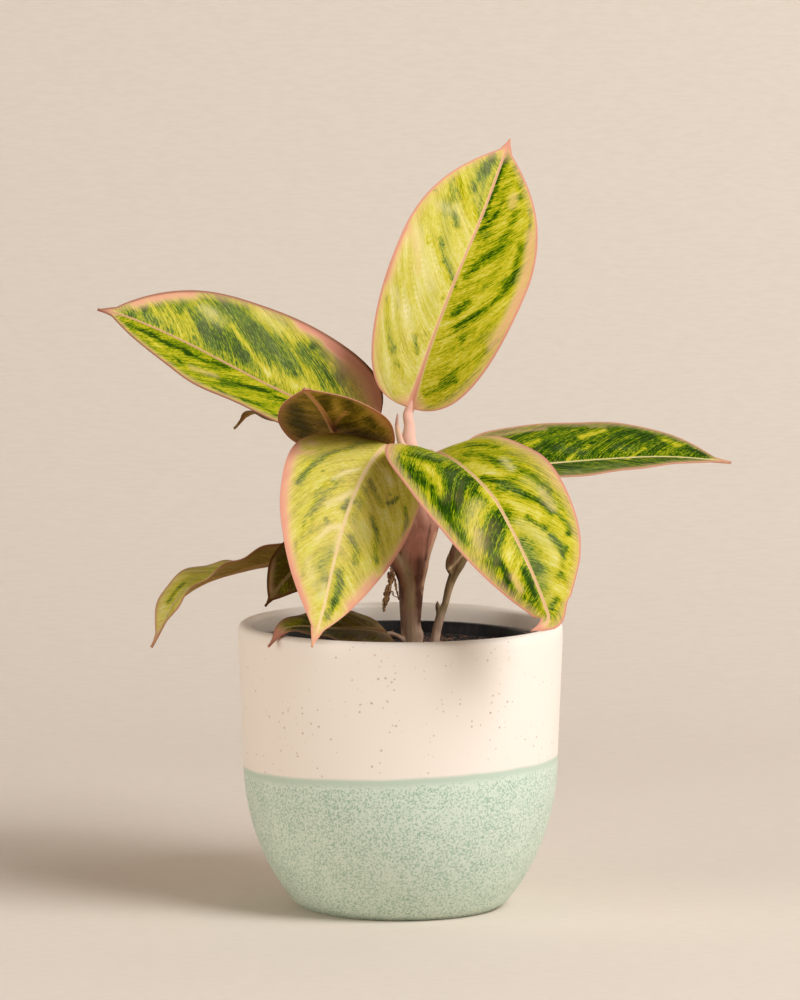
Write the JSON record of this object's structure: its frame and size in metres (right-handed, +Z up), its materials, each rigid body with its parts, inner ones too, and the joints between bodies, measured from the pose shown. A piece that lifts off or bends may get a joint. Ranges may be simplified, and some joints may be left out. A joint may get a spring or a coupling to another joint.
{
  "type": "potted salmon fantasy chinese evergreen",
  "caption": "Small variegated house plant with broad pink-edged leaves on short stems, in a black nursery pot inside a rounded two-glaze ceramic cover pot.",
  "frame": {"origin": "middle of the cover pot's underside, on the surface it stands on", "axes": "+Z up, -Y towards the side the plant is seen from, +X to that viewer's right"},
  "size_m": [0.2728, 0.1766, 0.3295],
  "materials": {
    "glazed_pot": "satin",
    "black_plastic": "satin",
    "soil": "matte",
    "stem": "satin",
    "shoot": "satin",
    "dry_leaf": "matte",
    "leaf": "satin"
  },
  "bodies": {
    "root": {"cover_pot": "glazed_pot", "nursery_pot": "black_plastic", "potting_soil": "soil", "main_stem": "stem", "side_shoot": "shoot", "dry_sheath": "dry_leaf", "leaf_upright": "leaf", "leaf_left": "leaf", "leaf_front_high": "leaf", "leaf_front_left": "leaf", "leaf_front_right": "leaf", "leaf_right": "leaf", "leaf_low_left": "leaf", "leaf_low_shaded": "leaf", "leaf_in_pot": "leaf", "leaf_back_left": "leaf"}
  },
  "joints": []
}
